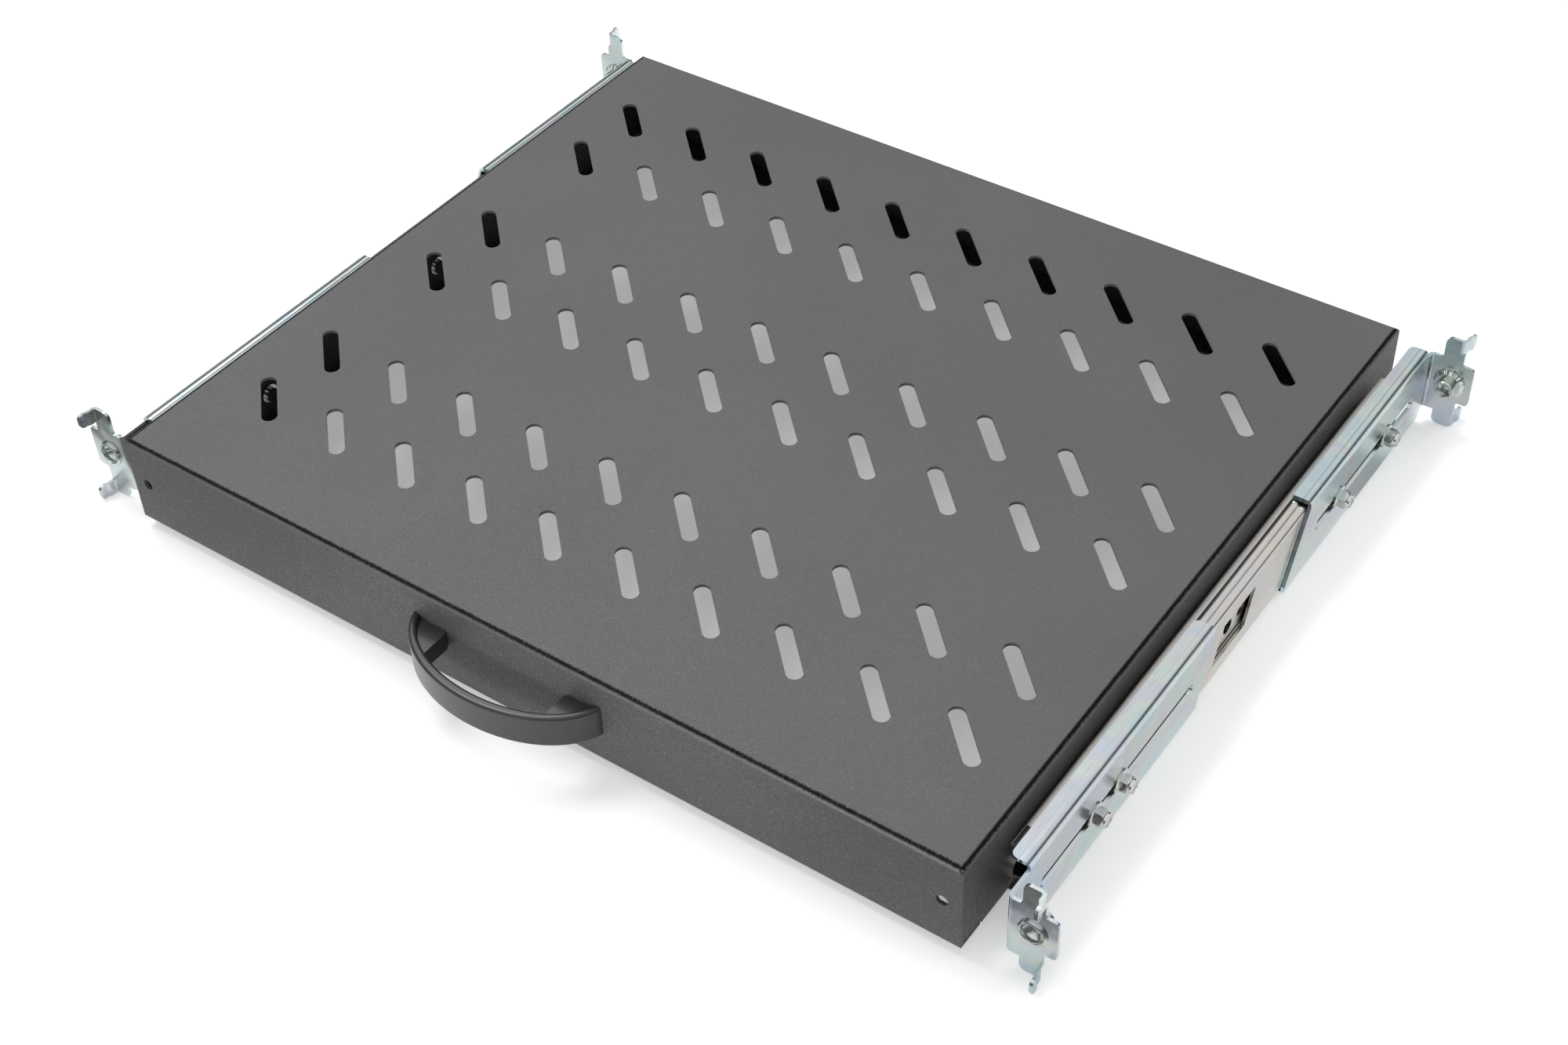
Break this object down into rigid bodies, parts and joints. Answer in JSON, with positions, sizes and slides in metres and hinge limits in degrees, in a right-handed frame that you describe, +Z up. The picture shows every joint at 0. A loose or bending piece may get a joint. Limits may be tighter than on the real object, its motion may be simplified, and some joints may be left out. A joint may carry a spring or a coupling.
{
  "type": "sliding rack shelf",
  "caption": "Vented pull-out rack shelf with a bow handle, telescopic ball slides and depth-adjustable rail brackets with press nuts.",
  "frame": {"origin": "centre of the tray's top face, with the tray pushed home", "axes": "+X to the right seen from the rack's front, +Y towards the rack's rear, +Z up; the tray pulls out along -Y"},
  "size_m": [0.4852, 0.4022, 0.0488],
  "materials": {
    "powder_coat": "fine textured anthracite powder coat",
    "handle_plastic": "smooth satin dark grey",
    "slide_zinc": "bright warm zinc on cold rolled steel",
    "bracket_zinc": "blue passivated zinc with a faint rainbow tint",
    "retainer_steel": "plain stamped steel",
    "ball_steel": "ground and polished",
    "fastener_zinc": "bright zinc",
    "press_nut_zinc": "blue zinc, turned and knurled",
    "black_plastic": "moulded black",
    "nylon": "natural nylon"
  },
  "bodies": {
    "rails": {"outer_member_left": "slide_zinc", "bump_stop_left": "black_plastic", "clinch_studs_left": "fastener_zinc", "flange_nuts_left": "fastener_zinc", "nylon_rings_left": "nylon", "outer_member_right": "slide_zinc", "bump_stop_right": "black_plastic", "clinch_studs_right": "fastener_zinc", "flange_nuts_right": "fastener_zinc", "nylon_rings_right": "nylon"},
    "tray": {"tray_pan": "powder_coat", "handle_grip": "handle_plastic", "handle_screws": "fastener_zinc", "inner_member_left": "slide_zinc", "tray_screws_left": "fastener_zinc", "rivet_nuts_left": "fastener_zinc", "inner_member_right": "slide_zinc", "tray_screws_right": "fastener_zinc", "rivet_nuts_right": "fastener_zinc"},
    "middle_left": {"middle_member_left": "slide_zinc"},
    "outer_cage_left": {"ball_retainer_outer_left": "retainer_steel", "balls_outer_left": "ball_steel"},
    "inner_cage_left": {"ball_retainer_inner_left": "retainer_steel", "balls_inner_left": "ball_steel"},
    "front_bracket_left": {"bracket_front_left": "bracket_zinc", "press_nut_front_left": "press_nut_zinc"},
    "rear_bracket_left": {"bracket_rear_left": "bracket_zinc", "press_nut_rear_left": "press_nut_zinc"},
    "middle_right": {"middle_member_right": "slide_zinc"},
    "outer_cage_right": {"ball_retainer_outer_right": "retainer_steel", "balls_outer_right": "ball_steel"},
    "inner_cage_right": {"ball_retainer_inner_right": "retainer_steel", "balls_inner_right": "ball_steel"},
    "front_bracket_right": {"bracket_front_right": "bracket_zinc", "press_nut_front_right": "press_nut_zinc"},
    "rear_bracket_right": {"bracket_rear_right": "bracket_zinc", "press_nut_rear_right": "press_nut_zinc"}
  },
  "joints": [
    {"name": "tray_slide", "type": "slide", "parent": "rails", "child": "tray", "axis": [0, -1, 0], "range_m": [0, 0.3]},
    {"name": "middle_slide_left", "type": "slide", "parent": "rails", "child": "middle_left", "axis": [0, -1, 0], "range_m": [0, 0.15]},
    {"name": "outer_cage_roll_left", "type": "slide", "parent": "rails", "child": "outer_cage_left", "axis": [0, -1, 0], "range_m": [0, 0.075]},
    {"name": "inner_cage_roll_left", "type": "slide", "parent": "rails", "child": "inner_cage_left", "axis": [0, -1, 0], "range_m": [0, 0.225]},
    {"name": "front_bracket_adjust_left", "type": "slide", "parent": "rails", "child": "front_bracket_left", "axis": [0, -1, 0], "range_m": [-0.034, 0.052]},
    {"name": "rear_bracket_adjust_left", "type": "slide", "parent": "rails", "child": "rear_bracket_left", "axis": [0, 1, 0], "range_m": [-0.024, 0.018]},
    {"name": "middle_slide_right", "type": "slide", "parent": "rails", "child": "middle_right", "axis": [0, -1, 0], "range_m": [0, 0.15]},
    {"name": "outer_cage_roll_right", "type": "slide", "parent": "rails", "child": "outer_cage_right", "axis": [0, -1, 0], "range_m": [0, 0.075]},
    {"name": "inner_cage_roll_right", "type": "slide", "parent": "rails", "child": "inner_cage_right", "axis": [0, -1, 0], "range_m": [0, 0.225]},
    {"name": "front_bracket_adjust_right", "type": "slide", "parent": "rails", "child": "front_bracket_right", "axis": [0, -1, 0], "range_m": [-0.034, 0.052]},
    {"name": "rear_bracket_adjust_right", "type": "slide", "parent": "rails", "child": "rear_bracket_right", "axis": [0, 1, 0], "range_m": [-0.024, 0.018]}
  ],
  "couplings": [
    {"joint": "middle_slide_left", "follows": "tray_slide", "ratio": 0.5},
    {"joint": "outer_cage_roll_left", "follows": "tray_slide", "ratio": 0.25},
    {"joint": "inner_cage_roll_left", "follows": "tray_slide", "ratio": 0.75},
    {"joint": "middle_slide_right", "follows": "tray_slide", "ratio": 0.5},
    {"joint": "outer_cage_roll_right", "follows": "tray_slide", "ratio": 0.25},
    {"joint": "inner_cage_roll_right", "follows": "tray_slide", "ratio": 0.75}
  ]
}
